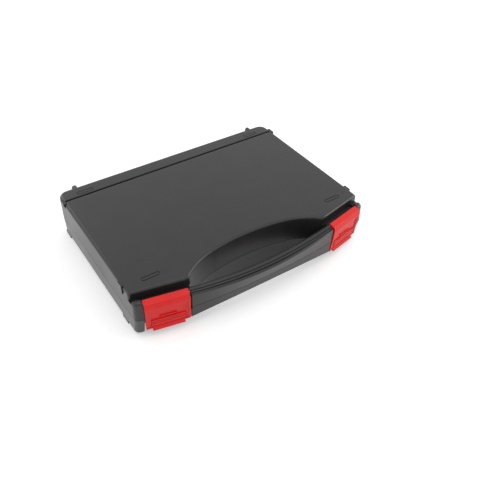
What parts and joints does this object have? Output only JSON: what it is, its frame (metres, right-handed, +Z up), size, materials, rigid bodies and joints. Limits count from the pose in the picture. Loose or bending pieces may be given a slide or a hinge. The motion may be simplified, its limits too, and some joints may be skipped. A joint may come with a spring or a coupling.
{
  "type": "tool case",
  "caption": "Flat plastic carrying case with a rear-hinged lid, a moulded grip and finger opening across the front, and wrap-over latches that swing up to release the lid.",
  "frame": {"origin": "on the ground under the feet, in the middle of the closed case's width and depth", "axes": "+X to the case's right seen from the grip, +Y to the hinge at the back, +Z up"},
  "size_m": [0.23, 0.18, 0.045],
  "materials": {
    "case_black": "fine moulded grain",
    "latch_red": "smooth satin",
    "pin_steel": "drawn wire"
  },
  "bodies": {
    "base": {"base_tray": "case_black", "rear_spine": "case_black", "hinge_pin_left": "pin_steel", "hinge_pin_right": "pin_steel"},
    "lid": {"lid": "case_black", "latch_pin_left": "pin_steel", "latch_pin_right": "pin_steel"},
    "left_latch": {"latch_left": "latch_red"},
    "right_latch": {"latch_right": "latch_red"}
  },
  "joints": [
    {"name": "lid_hinge", "type": "hinge", "parent": "base", "child": "lid", "pos_m": [0, 0.0688, 0.0433], "axis": [-1, 0, 0], "range_deg": [0, 98]},
    {"name": "left_latch_hinge", "type": "hinge", "parent": "lid", "child": "left_latch", "pos_m": [-0.08895, -0.07577, 0.037], "axis": [-0.9787, 0.2055, 0], "range_deg": [0, 100]},
    {"name": "right_latch_hinge", "type": "hinge", "parent": "lid", "child": "right_latch", "pos_m": [0.08895, -0.07577, 0.037], "axis": [-0.9787, -0.2055, 0], "range_deg": [0, 100]}
  ]
}
